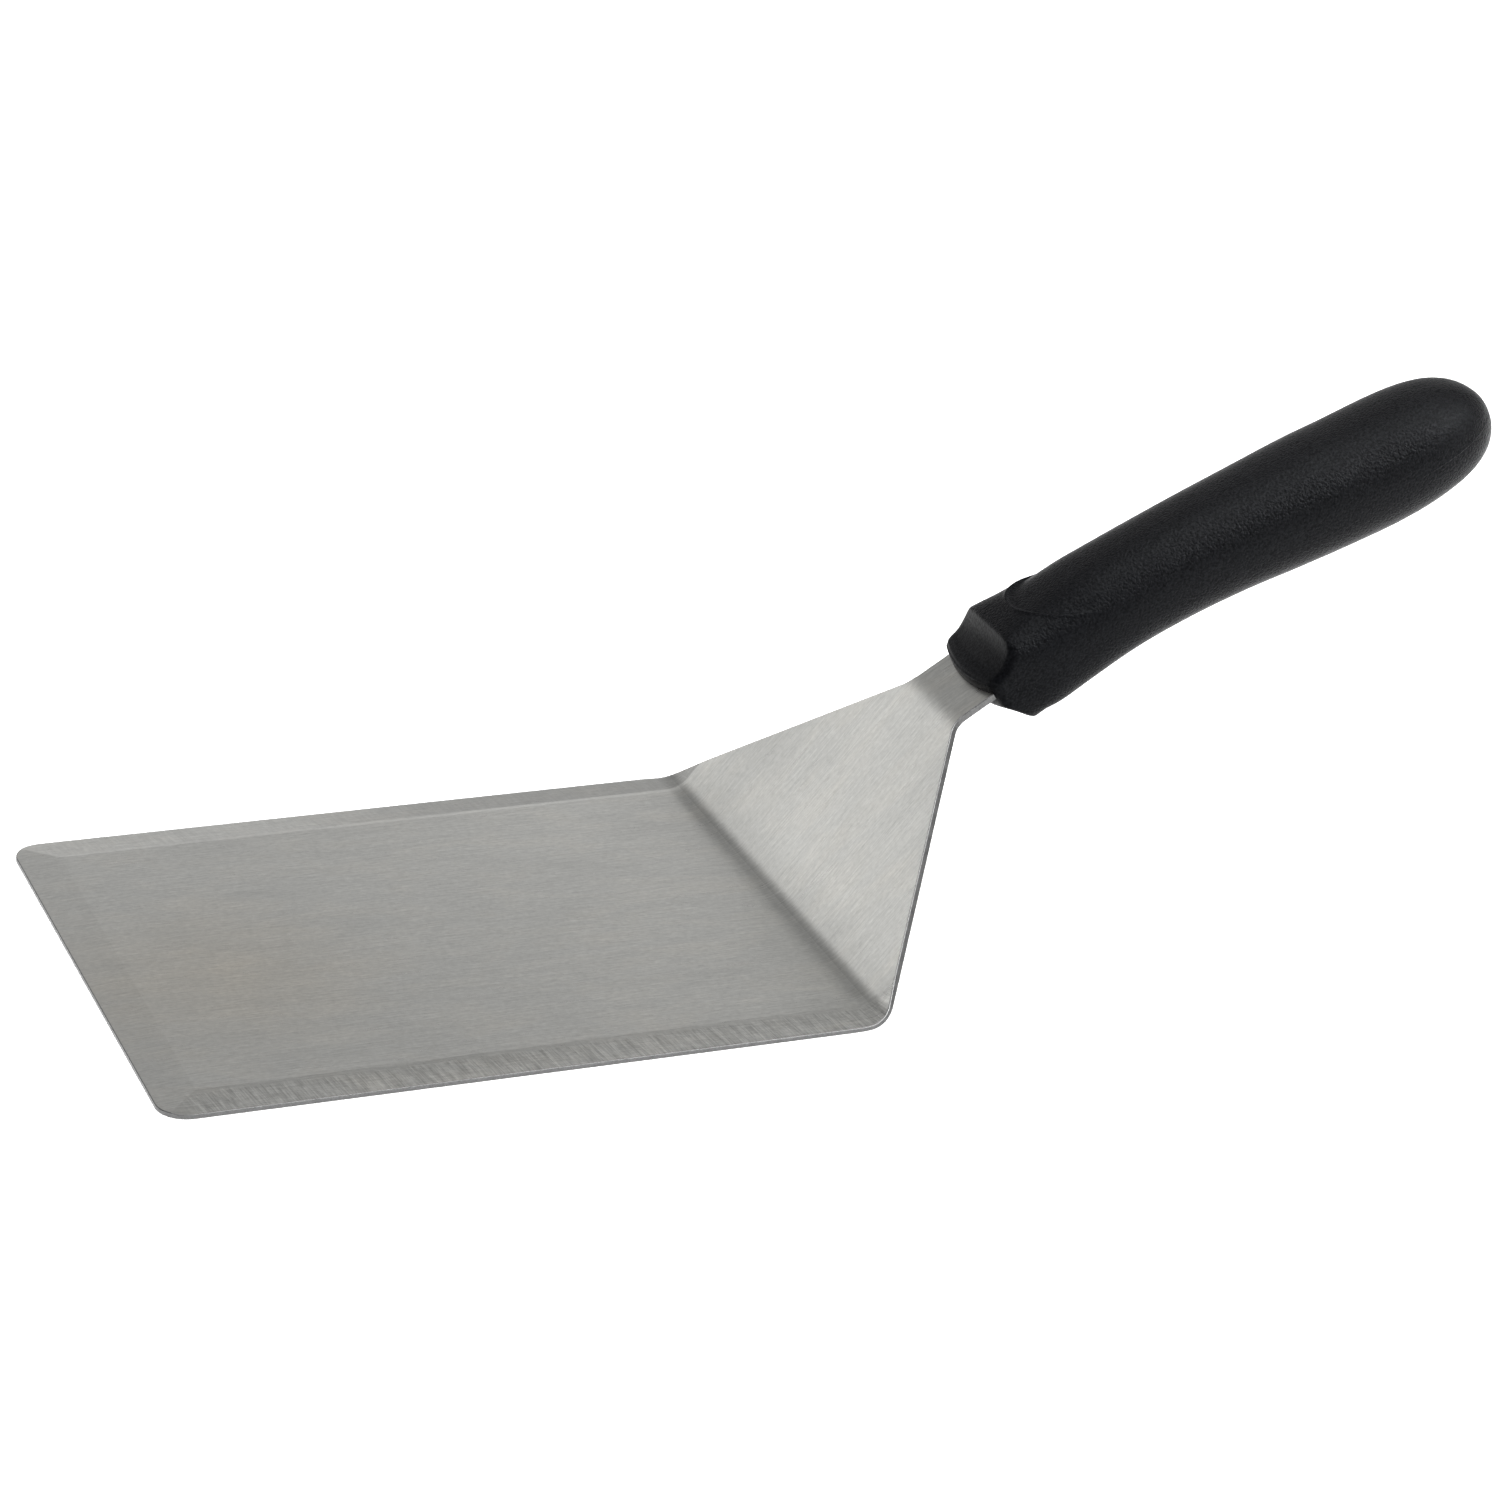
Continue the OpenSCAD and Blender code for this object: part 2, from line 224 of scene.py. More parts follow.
def half_width(s):
    """Half width of the blank behind its front corners."""
    x, z, _ = middle(s)
    reach = ((x - LEADING - BLADE_LENGTH) * cos(RISER_SLOPE)
             + (z - SHEET / 2) * sin(RISER_SLOPE))
    shoulder = SHOULDER_R * tan(TAPER / 2)
    corner = NECK_CORNER_R * tan(TAPER / 2)
    width = HALF_BLADE - np.maximum(reach, 0) * tan(TAPER)
    round_out = np.sqrt(np.maximum(SHOULDER_R ** 2 - (reach + shoulder) ** 2, 0))
    near = (reach > -shoulder) & (reach < shoulder * cos(TAPER))
    width = np.where(near, HALF_BLADE - SHOULDER_R + round_out, width)
    after = reach - RISER_LENGTH - corner
    round_in = np.sqrt(np.maximum(NECK_CORNER_R ** 2 - after ** 2, 0))
    near = (after > -NECK_CORNER_R * sin(TAPER)) & (after < 0)
    width = np.where(near, HALF_NECK + NECK_CORNER_R - round_in, width)
    tang = np.interp(s - NECK_START, NARROWING, (HALF_NECK, HALF_TANG))
    return np.where(after >= 0, tang, width)


def band_exit():
    """Distance along the blank where a side band runs out over the riser's edge."""
    s = np.linspace(LOWER_END, UPPER_AT, 4000)
    return float(s[np.argmin(np.abs(half_width(s) - (HALF_BLADE - BAND)))])


def side_stations():
    """Distances along one side of the blank, closer together where it bends."""
    leaves = band_exit()
    tang_end = NECK_START + TANG_LENGTH - HALF_TANG
    runs = [(BAND, LOWER_AT - 6, 16), (LOWER_AT - 6, LOWER_AT, 12), (LOWER_AT, LOWER_END, 22),
            (LOWER_END, leaves, 8), (leaves, UPPER_AT - 3, 12), (UPPER_AT - 3, UPPER_AT, 12),
            (UPPER_AT, UPPER_END, 8), (UPPER_END, UPPER_END + 3, 12),
            (UPPER_END + 3, NECK_START + NARROWING[0], 5),
            (NECK_START + NARROWING[0], NECK_START + NARROWING[1], 3),
            (NECK_START + NARROWING[1], tang_end, 10)]
    return np.unique(np.concatenate([np.linspace(a, b, n + 1) for a, b, n in runs]))


def far_outline():
    """Outline of the half with +y: points, outward directions and their kind."""
    lead = [((0, y), (-1, 0), "lead") for y in np.linspace(0, HALF_BLADE - BAND, 7)]
    turn = [((CORNER_R * (1 - cos(b)), HALF_BLADE - CORNER_R * (1 - sin(b))),
             (-cos(b), sin(b)), "corner") for b in np.linspace(0, pi / 2, 17)]
    s = side_stations()
    w = half_width(s)
    out = np.stack([-np.gradient(w, s), np.ones_like(s)], axis=1)
    out /= np.linalg.norm(out, axis=1)[:, None]
    leaves = band_exit()
    side = [((a, b), tuple(o), "band" if a < leaves - 0.01 else "plain")
            for a, b, o in zip(s, w, out)]
    centre = NECK_START + TANG_LENGTH - HALF_TANG
    end = [((centre + HALF_TANG * sin(g), HALF_TANG * cos(g)), (sin(g), cos(g)), "plain")
           for g in np.linspace(0, pi / 2, 13)[1:]]
    return lead, turn, side, end


def top_height(s, y):
    """Height of the upper face over the middle layer, lower on the ground bands."""
    inset = np.maximum(BAND - s, np.abs(y) - HALF_BLADE + BAND)
    inset = np.where(s > UPPER_AT, 0, np.maximum(inset, 0))
    return SHEET / 2 - (SHEET - GROUND_EDGE) * inset / BAND


def band_rings():
    """The ground band of the +y half: lines from its edge to its inner crease."""
    lead, turn, side, _ = far_outline()
    rings = []
    for inset in (EDGE_R, 1.0, 3.0, 5.0, 7.0, BAND):
        left = 1 - inset / BAND
        r = CORNER_R - EDGE_R if inset == EDGE_R else CORNER_R * left
        ring = [(inset, p[1]) for p, _, _ in lead]
        ring += [(inset + r * (1 + o[0]), HALF_BLADE - inset - r * (1 - o[1])) for _, o, _ in turn]
        for (s, w), o, kind in side:
            if inset == EDGE_R or kind == "plain":
                ring.append((s - EDGE_R * o[0], w - EDGE_R * o[1]))
            else:
                ring.append((s, HALF_BLADE - BAND + (w - HALF_BLADE + BAND) * left))
            if kind == "plain":
                break
        rings.append(ring)
    return np.array(rings)


def field_rows():
    """The face inside the bands, and all of it behind them, for the +y half."""
    _, _, side, end = far_outline()
    share = np.linspace(0, 1, 7)
    rows = []
    for (s, w), o, kind in side + end:
        if kind == "band":
            rows.append([(s, c * (HALF_BLADE - BAND)) for c in share])
        else:
            rows.append([(s - EDGE_R * o[0], c * (w - EDGE_R * o[1])) for c in share])
    return np.array(rows)


def flat_face(points, height):
    """Quads of a face of the blank: s, y, n and the two texture values."""
    s, y = points[..., 0], points[..., 1]
    return grid(np.stack([s, y, height(s, y), s, y], axis=-1))


def rim():
    """The sheet's rounded edge: a strip round the outline, unrolled for texture."""
    lead, turn, side, end = far_outline()
    strip = []
    for (s, y), (a, b), _ in lead + turn + side + end:
        border = (s - EDGE_R * a, y - EDGE_R * b)
        top = float(top_height(border[0], border[1]))
        line = []
        for angle in (0, 30, 60, 90):
            back, drop = EDGE_R * (1 - sin(radians(angle))), EDGE_R * (1 - cos(radians(angle)))
            line.append((back, top - drop))
        for angle in (90, 60, 30, 0):
            back, rise = EDGE_R * (1 - sin(radians(angle))), EDGE_R * (1 - cos(radians(angle)))
            line.append((back, -SHEET / 2 + rise))
        strip.append([(s - back * a, y - back * b, n, s + a * (top - n), y + b * (top - n))
                      for back, n in line])
    return grid(strip)


def on_crease(s, y):
    """Whether a point of the upper face lies on a band's inner line or a mitre."""
    front, side = BAND - s, abs(y) - HALF_BLADE + BAND
    inner = abs(max(front, side)) < 0.005 and s < LOWER_END + BAND
    return inner or (abs(front - side) < 0.005 and front > 0)


def blade_mesh():
    """The blade, riser, neck and hidden tang as one closed, welded mesh."""
    rings, rows = band_rings(), field_rows()
    under = lambda s, y: np.full_like(s, -SHEET / 2)
    groups = [(flat_face(rows, top_height), 0), (flat_face(rings, top_height), 0), (rim(), 1),
              (flat_face(rows, under), 2), (flat_face(rings, under), 2)]
    half = np.concatenate([quads for quads, _ in groups])
    kinds = np.concatenate([np.full(len(quads), kind) for quads, kind in groups])
    other = half[:, ::-1] * np.array([1, -1, 1, 1, -1])
    quads, kinds = np.concatenate([half, other]), np.concatenate([kinds, kinds])
    mesh = bpy.data.meshes.new("blade_steel")
    corners = quads[..., :3].reshape(-1, 3)
    mesh.from_pydata(corners.tolist(), [], np.arange(len(corners)).reshape(-1, 4).tolist())
    mesh.uv_layers.new(name="blank").data.foreach_set("uv", (quads[..., 3:] * MM).ravel())
    mesh.polygons.foreach_set("material_index", kinds.astype(int))
    depth = top_height(corners[:, 0], corners[:, 1]) - corners[:, 2]
    mesh.attributes.new("depth", "FLOAT", "POINT").data.foreach_set("value", depth)
    work = bmesh.new()
    work.from_mesh(mesh)
    bmesh.ops.remove_doubles(work, verts=work.verts, dist=0.002)
    bmesh.ops.dissolve_degenerate(work, edges=work.edges, dist=0.001)
    bmesh.ops.recalc_face_normals(work, faces=work.faces)
    for edge in work.edges:
        ends = [v.co for v in edge.verts]
        edge.smooth = not all(c.z > -0.5 and on_crease(c.x, c.y) for c in ends)
    for face in work.faces:
        face.smooth = True
    places = fold(*np.array([v.co[:] for v in work.verts]).T)
    for vertex, place in zip(work.verts, places):
        vertex.co = place * MM
    work.to_mesh(mesh)
    work.free()
    return mesh


def lock_hole_cutter():
    """Two round pins through the tang, where its locking holes are."""
    work = bmesh.new()
    for place in LOCK_HOLES:
        x, z, slope = middle(np.array([NECK_START + place]))
        turn = Matrix.Rotation(-float(slope[0]), 4, "Y")
        at = Matrix.Translation((float(x[0]) * MM, 0, float(z[0]) * MM)) @ turn
        bmesh.ops.create_cone(work, cap_ends=True, segments=48, radius1=LOCK_HOLE_R * MM,
                              radius2=LOCK_HOLE_R * MM, depth=4 * SHEET * MM, matrix=at)
    mesh = bpy.data.meshes.new("lock_pins")
    work.to_mesh(mesh)
    work.free()
    return new_object("lock_pins", mesh)


def make_blade():
    """The steel piece, with its corner normals held by the large flat faces."""
    blade = new_object("blade_steel", blade_mesh())
    subtract(blade, lock_hole_cutter())
    shading = blade.modifiers.new("flat faces", "WEIGHTED_NORMAL")
    shading.keep_sharp = True
    shading.weight = 100
    return blade


# ---------------------------------------------------------------------- the grip

def section(a):
    """Centre height, half widths and squareness at distances a, one row each."""
    a = np.maximum(a, COLLAR_AT)
    return [smooth_curve(a, SECTIONS[:, 0], SECTIONS[:, k]) for k in (1, 2, 3, 4)]


def column_angles():
    """Directions of the columns round a section, closer at the parting line."""
    even = np.arange(GRIP_COLUMNS) * 2 * pi / GRIP_COLUMNS
    fine = np.array([-0.03, -0.02, -0.013, -0.008, -0.004, 0.004, 0.008, 0.013, 0.02, 0.03])
    spare = np.concatenate([even, fine + pi, fine[5:], fine[:5] + 2 * pi])
    angles = np.sort(spare)
    return angles[np.concatenate([[True], np.diff(angles) > 0.002])]


def smooth_most(values, softness):
    """The greatest of two values, blended where they are close."""
    a, b = values
    mixed = np.clip(0.5 + 0.5 * (a - b) / softness, 0, 1)
    return b + (a - b) * mixed + softness * mixed * (1 - mixed)


def nose_rings(behind, angles):
    """Rings of the nose at distances behind the lip's front edge: a, y and n."""
    d, t = behind[:, None], angles[None, :]
    centre, width, height, square = [v[:, None] for v in section(LIP_AT + behind)]
    top, under = smooth_curve(d, *UPPER_FACE), smooth_curve(d, *UNDER_FACE)
    top = np.where(d > UPPER_FACE[0][-1], NO_FACE, top)
    under = np.where(d > UNDER_FACE[0][-1], NO_FACE, under)
    middle_n = centre * ease(d / NOSE_LENGTH)
    reach_up = np.minimum(top, centre + height) - middle_n
    reach_down = np.minimum(under, height - centre) + middle_n
    up_y, up_n = width * np.cos(t), np.where(np.sin(t) > 0, reach_up, reach_down) * np.sin(t)
    # Where each direction leaves the nose, found by halving the stretch it lies in
    near, far = np.zeros_like(up_y), np.full_like(up_y, 1.6)
    steep_top = np.gradient(smooth_curve(behind, *UPPER_FACE), behind)[:, None]
    steep_under = np.gradient(smooth_curve(behind, *UNDER_FACE), behind)[:, None]
    for _ in range(HALVINGS):
        k = (near + far) / 2
        y, n = k * up_y, middle_n + k * up_n
        body = (((np.abs(y) / width) ** square + (np.abs(n - centre) / height) ** square)
                ** (1 / square) - 1) * height
        over = (n - top) / np.hypot(1, steep_top)
        below = (-n - under) / np.hypot(1, steep_under)
        side = ease((np.abs(y) / width - 0.72) / 0.2)
        upper = smooth_most((body, over), 0.4 + 1.3 * side)
        whole = smooth_most((upper, below), 0.7)
        inside = whole < 0
        near, far = np.where(inside, k, near), np.where(inside, far, k)
    y = k * up_y * (1 - LIP_NARROWING * (1 - np.minimum(d, 2) / 2))
    bow = y * y / (2 * LIP_BOW_R) * np.maximum(1 - d / NOSE_LENGTH, 0)
    return np.stack([LIP_AT + d + bow, y, middle_n + k * up_n], axis=-1)


def body_rings(places, angles, shrink):
    """Rings of the body, each shrunk by its own factor: a, y and n."""
    t = angles[None, :]
    centre, width, height, square = [v[:, None] for v in section(places)]
    reach = (np.abs(np.cos(t)) ** square + np.abs(np.sin(t)) ** square) ** (-1 / square)
    k = reach * shrink[:, None]
    a = np.broadcast_to(places[:, None], k.shape)
    return np.stack([a, k * width * np.cos(t), centre + k * height * np.sin(t)], axis=-1)


def sink_dish(rings):
    """Presses in the thumb dish, which a crisp crescent closes at its front."""
    a, y, n = rings[..., 0], rings[..., 1], rings[..., 2]
    centre = section(a.ravel())[0].reshape(a.shape)
    along = np.minimum(a - DISH_CENTRE, 0) / DISH_REACH
    inside = 1 - np.hypot(along, y / DISH_HALF_WIDTH)
    t = np.clip(inside / DISH_WALL, 0, 1)
    drop = DISH_DEPTH * t * (2 - t) * (1 - ease((a - DISH_FADE[0]) / DISH_FADE[1]))
    rim = DISH_RIM * np.exp(-(inside / RIM_HALF_WIDTH) ** 2)
    rim *= 1 - ease((a - RIM_FADE[0]) / RIM_FADE[1])
    rings[..., 2] = np.where(n > centre, n - drop + rim, n)


def raise_seam(rings, angles):
    """Lifts the thin parting line round the butt."""
    a = rings[..., 0]
    off = np.abs(np.sin(angles))[None, :] * SECTIONS[-1, 3]
    lift = (SEAM_HEIGHT * np.exp(-(off / SEAM_HALF_WIDTH) ** 2)
            * ease((a - SEAM_FROM) / SEAM_LENGTH))
    rings[..., 1] += np.sign(rings[..., 1]) * lift * (np.abs(rings[..., 1]) > 1)


def grip_rings():
    """All the grip's rings from the lip to the butt, in the neck's own frame."""
    angles = column_angles()
    lip = np.array([0, 0.03, 0.08, 0.15, 0.25, 0.4, 0.6, 0.8, 1.05, 1.35, 1.7, 2.1, 2.5])
    nose = np.concatenate([lip, np.arange(2.8, NOSE_LENGTH + 0.6, 0.22)])
    start = LIP_AT + nose[-1]
    body = np.concatenate([np.arange(start + 0.25, 41, 0.25), np.arange(41.6, BUTT_AT, 0.8)])
    turn = np.linspace(0, pi / 2, 46)[1:-1]
    butt = BUTT_AT + (GRIP_END - BUTT_AT) * np.sin(turn) ** (2 / BUTT_FULLNESS)
    places = np.concatenate([body, butt])
    shrink = np.concatenate([np.ones(len(body)), np.cos(turn)])
    rings = np.concatenate([nose_rings(nose, angles), body_rings(places, angles, shrink)])
    sink_dish(rings)
    raise_seam(rings, angles)
    return rings


def on_neck(a, y, n):
    """Points given along the neck from the upper bend line, in the shared frame."""
    x0 = LEADING + BLADE_LENGTH + RISER_LENGTH * cos(RISER_SLOPE)
    z0 = SHEET / 2 + RISER_LENGTH * sin(RISER_SLOPE)
    return np.stack([x0 + a * cos(NECK_SLOPE) - n * sin(NECK_SLOPE), y,
                     z0 + a * sin(NECK_SLOPE) + n * cos(NECK_SLOPE)], axis=-1)


def grip_mesh():
    """The grip's closed outer skin, marked with its polished nose and its length."""
    rings = grip_rings()
    count, columns = rings.shape[:2]
    tip = np.array([GRIP_END, 0, rings[-1, :, 2].mean()])
    points = np.concatenate([rings.reshape(-1, 3), tip[None]])
    i = np.arange(count * columns).reshape(count, columns)
    j = np.roll(i, -1, axis=1)
    faces = np.stack([i[:-1], i[1:], j[1:], j[:-1]], axis=-1).reshape(-1, 4).tolist()
    faces += [(int(a), count * columns, int(b)) for a, b in zip(i[-1], j[-1])]
    half = columns // 2
    ring = [int(v) for v in i[0]]
    faces += [(ring[k], ring[k + 1], ring[-k - 1], ring[-k]) for k in range(1, half - 1)]
    faces += [(ring[0], ring[1], ring[-1])]
    if columns % 2:
        faces.append((ring[half - 1], ring[half], ring[half + 1], ring[half + 2]))
    else:
        faces.append((ring[half - 1], ring[half], ring[half + 1]))
    mesh = bpy.data.meshes.new("grip_moulding")
    mesh.from_pydata((on_neck(*points.T) * MM).tolist(), [], faces)
    gloss = mesh.attributes.new("nose_face", "FLOAT", "POINT")
    gloss.data.foreach_set("value", nose_mask(points))
    along = mesh.attributes.new("along", "FLOAT", "POINT")
    along.data.foreach_set("value", points[:, 0])
    return mesh


def nose_mask(points):
    """1 on the hollow faces of the nose, which are smoother than the rest."""
    a, y, n = points.T
    bow = y * y / (2 * LIP_BOW_R) * np.clip(1 - (a - LIP_AT) / NOSE_LENGTH, 0, 1)
    d = np.clip(a - LIP_AT - bow, 0, NOSE_LENGTH)
    centre, width, height, square = section(a)
    body = (np.abs(y) / width) ** square + (np.abs(n - centre) / height) ** square
    return np.where(d < NOSE_LENGTH - 0.1, ease((1 - body) / 0.12), 0.0)


def cutter_from(other):
    """A welded copy of another piece's mesh, for cutting its space out of a piece."""
    mesh = other.data.copy()
    work = bmesh.new()
    work.from_mesh(mesh)
    bmesh.ops.remove_doubles(work, verts=work.verts, dist=1e-6)
    work.to_mesh(mesh)
    work.free()
    return new_object("cutter", mesh)


def make_grip(blade):
    """The grip, hollow where the core and the blade's neck sit in it."""
    grip = new_object("grip_moulding", grip_mesh())
    work = bmesh.new()
    work.from_mesh(grip.data)
    bmesh.ops.recalc_face_normals(work, faces=work.faces)
    work.to_mesh(grip.data)
    work.free()
    subtract(grip, cutter_from(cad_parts["handle_core"]))
    subtract(grip, cutter_from(blade))
    grip.data.shade_smooth()
    grip.data.set_sharp_from_angle(angle=radians(38))
    return grip


# --------------------------------------------------------------------- materials

class Shader:
    """Adds nodes to a material, with inputs given as values or as other outputs."""

    def __init__(self, name):
        self.material = bpy.data.materials.new(name)
        self.material.use_nodes = True
        self.tree = self.material.node_tree
        self.tree.nodes.clear()

    def add(self, kind, settings=None, **inputs):
        node = self.tree.nodes.new("ShaderNode" + kind)
        for key, value in (settings or {}).items():
            setattr(node, key, value)
        for key, value in inputs.items():
            socket = self.find(node, key)
            if isinstance(value, bpy.types.NodeSocket):
                self.tree.links.new(value, socket)
            else:
                socket.default_value = value
        return node

    @staticmethod
    def find(node, key):
        if key.startswith("in"):
            return node.inputs[int(key[2:])]
        name = key.replace("_", " ")
        return next(s for s in node.inputs if s.name.lower() == name.lower() and s.enabled)

    def math(self, operation, a, b=0.0, c=0.0, clamp=False):
        node = self.add("Math", {"operation": operation, "use_clamp": clamp}, in0=a, in1=b, in2=c)
        return node.outputs[0]

    def noise(self, vector, scale, detail=2.0, roughness=0.5, distortion=0.0):
        node = self.add("TexNoise", vector=vector, scale=scale, detail=detail,
                        roughness=roughness, distortion=distortion)
        return node.outputs["Fac"]

    def stretch(self, vector, along, across, turn=0.0):
        """Coordinates in mm, divided by the length and width of a streak."""
        turned = self.add("VectorRotate", {"rotation_type": "Z_AXIS"}, vector=vector, angle=turn)
        node = self.add("Mapping", {"vector_type": "TEXTURE"}, vector=turned.outputs[0])
        node.inputs["Scale"].default_value = (along, across, 1)
        return node.outputs[0]

    def ramp(self, value, low, high, to_low=0.0, to_high=1.0, smooth=True):
        node = self.add("MapRange", {"interpolation_type": "SMOOTHSTEP" if smooth else "LINEAR"},
                        in0=value, in1=low, in2=high, in3=to_low, in4=to_high)
        return node.outputs[0]

    def blend(self, factor, a, b, kind="MIX"):
        node = self.add("Mix", {"data_type": "RGBA", "blend_type": kind})
        for index, value in ((0, factor), (6, a), (7, b)):
            if isinstance(value, bpy.types.NodeSocket):
                self.tree.links.new(value, node.inputs[index])
            else:
                node.inputs[index].default_value = value
        return node.outputs[2]

    def bump(self, height, distance, strength):
        return self.add("Bump", height=height, distance=distance, strength=strength).outputs[0]

    def finish(self, **inputs):
        surface = self.add("BsdfPrincipled", **inputs)
        self.add("OutputMaterial", surface=surface.outputs[0])
        return self.material


def blank_coordinates(shader):
    """The unrolled sheet's coordinates, in mm."""
    uv = shader.add("UVMap", {"uv_map": "blank"})
    return shader.add("VectorMath", {"operation": "SCALE"}, in0=uv.outputs[0],
                      scale=1000.0).outputs[0]


def around(shader, vector, centre, size):
    """1 at a place on the blank, falling to 0 at an ellipse of that size."""
    node = shader.add("Mapping", {"vector_type": "TEXTURE"}, vector=vector)
    node.inputs["Location"].default_value = (centre[0], centre[1], 0)
    node.inputs["Scale"].default_value = (size[0], size[1], 1)
    far = shader.add("VectorMath", {"operation": "LENGTH"}, in0=node.outputs[0]).outputs["Value"]
    return shader.ramp(far, 0.0, 1.0, 1.0, 0.0)


def grain(shader, vector):
    """Fine, middling and broad brushing streaks, each between 0 and 1."""
    fine = shader.noise(shader.stretch(vector, 3.6, 0.45), 1.0, 3.0, 0.7)
    middling = shader.noise(shader.stretch(vector, 14.0, 1.1), 1.0, 4.0, 0.65)
    broad = shader.noise(shader.stretch(vector, 48.0, 7.0), 1.0, 3.0, 0.5)
    return fine, middling, broad


def grey(shader, *values):
    """A grey from a value, or a colour from three."""
    values = values * 3 if len(values) == 1 else values
    return shader.add("CombineColor", in0=values[0], in1=values[1], in2=values[2]).outputs[0]


def painted_light_and_shade(m, at):
    """Broad painted light and shade on the steel: brighter towards the back and the far side,
    darker from each bend on, with a painted dark line across the lower bend and painted shade on
    the riser's far part.
    """
    split = m.add("SeparateXYZ", in0=at)
    s, y = split.outputs[0], split.outputs[1]
    # Painted light: brighter towards the back and the far side.
    tone = m.math("MULTIPLY", m.ramp(s, 30, 140, 0.95, 1.06), m.ramp(y, -30, 55, 1.0, 1.06))
    # Painted shade: darker from each bend on.
    tone = m.math("MULTIPLY", tone, m.ramp(s, LOWER_AT, LOWER_END, 1.0, 0.87))
    tone = m.math("MULTIPLY", tone, m.ramp(s, UPPER_AT, UPPER_END, 1.0, 0.91))
    # Painted shade: a dark line across the lower bend, fading out at the sides.
    crease = m.math("ABSOLUTE", m.math("SUBTRACT", s, LOWER_AT + 0.35 * (LOWER_END - LOWER_AT)))
    bend_line_shade = m.math("MULTIPLY", m.ramp(crease, 0.0, 4.5, 0.22, 0.0),
                  m.ramp(m.math("ABSOLUTE", y), 49, 57, 1.0, 0.0))
    tone = m.math("MULTIPLY", tone, m.math("SUBTRACT", 1.0, bend_line_shade))
    # Painted shade over the riser's far part.
    corner = m.math("MULTIPLY", around(m, at, (LOWER_END + 12, 42), (48, 40)), -0.16)
    return m.math("MULTIPLY", tone, m.math("ADD", corner, 1.0))


def steel_colour(m, at, streaks, clouds):
    """Nickel grey with a warm patch near the leading edge, streaked and clouded, over painted
    light and shade.
    """
    fine, middling, broad = streaks
    warm = m.math("MULTIPLY", around(m, at, (26, -8), (48, 46)), 0.55)
    warm = m.math("ADD", warm, m.ramp(clouds, 0.35, 0.75, -0.05, 0.20))
    colour = m.blend(m.math("MULTIPLY", warm, 1.0, clamp=True), STEEL, WARM_STEEL)
    speckle = m.noise(m.stretch(at, 1.3, 1.1), 1.0, 3.0, 0.7)
    lines = m.noise(m.stretch(at, 17.0, 0.42), 1.0, 2.0, 0.55)
    light = painted_light_and_shade(m, at)
    for value, swing in ((fine, 0.50), (speckle, 0.42), (lines, 0.34), (middling, 0.13),
                         (broad, 0.12), (clouds, 0.22)):
        light = m.math("MULTIPLY", light, m.math("MULTIPLY_ADD", value, swing, 1 - swing / 2))
    return m.blend(1.0, colour, grey(m, light), "MULTIPLY")


def ground_bands(m, at, colour):
    """Lays the bands' cross scratches over the colour; gives colour, mask and lines."""
    split = m.add("SeparateXYZ", in0=at)
    s, y = split.outputs[0], split.outputs[1]
    near = m.math("LESS_THAN", y, 0.0)
    far = m.math("SUBTRACT", 1.0, near)
    fringe = m.noise(m.stretch(at, 9.0, 0.45, radians(80)), 1.0, 2.0, 0.6)
    inset = m.math("ADD", m.math("ABSOLUTE", y), BAND - HALF_BLADE)
    ragged = m.math("MULTIPLY", m.math("MULTIPLY_ADD", fringe, 4.4, -2.4), near)
    fringed = m.math("ADD", inset, ragged)
    side = m.math("MULTIPLY", m.ramp(fringed, 0.8, 1.9), m.ramp(s, 4.0, 9.0))
    side = m.math("MULTIPLY", side, m.math("LESS_THAN", s, UPPER_AT))
    deep = m.ramp(inset, 0.5, 7.5, NEAR_BAND[0], NEAR_BAND[1], smooth=False)
    line = m.math("MULTIPLY", m.ramp(inset, -0.3, 0.2), m.ramp(inset, 0.5, 2.0, 1.0, 0.0))
    line = m.math("MULTIPLY", line, m.ramp(s, 90, 125, 1.0, 0.35))
    light = m.math("MULTIPLY_ADD", line, -0.13, m.ramp(s, 45, 115, FAR_BAND[0], FAR_BAND[1]))
    deep = m.math("MULTIPLY", deep, m.ramp(s, 20, 80, 1.07, 1.0))
    tone = m.math("ADD", m.math("MULTIPLY", deep, near), m.math("MULTIPLY", light, far))
    lines = m.noise(m.stretch(at, 6.0, 0.3, radians(80)), 1.0, 3.0, 0.65)
    coarse = m.noise(m.stretch(at, 8.0, 1.0, radians(80)), 1.0, 3.0, 0.6)
    swing = m.math("MULTIPLY_ADD", near, 0.22, 0.10)
    hatch = m.math("MULTIPLY_ADD", m.math("SUBTRACT", m.ramp(lines, 0.3, 0.7), 0.5), swing, 1.0)
    broad = m.math("MULTIPLY_ADD", m.math("SUBTRACT", m.ramp(coarse, 0.3, 0.7), 0.5), swing, 1.0)
    tone = m.math("MULTIPLY", tone, m.math("MULTIPLY", hatch, broad))
    ground = m.blend(1.0, colour, grey(m, tone), "MULTIPLY")
    lead = m.math("MULTIPLY", m.ramp(s, 8.7, 9.6, 1.0, 0.0), m.math("SUBTRACT", 1.0, side))
    colour = m.blend(m.math("MULTIPLY", lead, 0.03), colour, (0.3, 0.29, 0.27, 1))
    return m.blend(side, colour, ground), side, lines


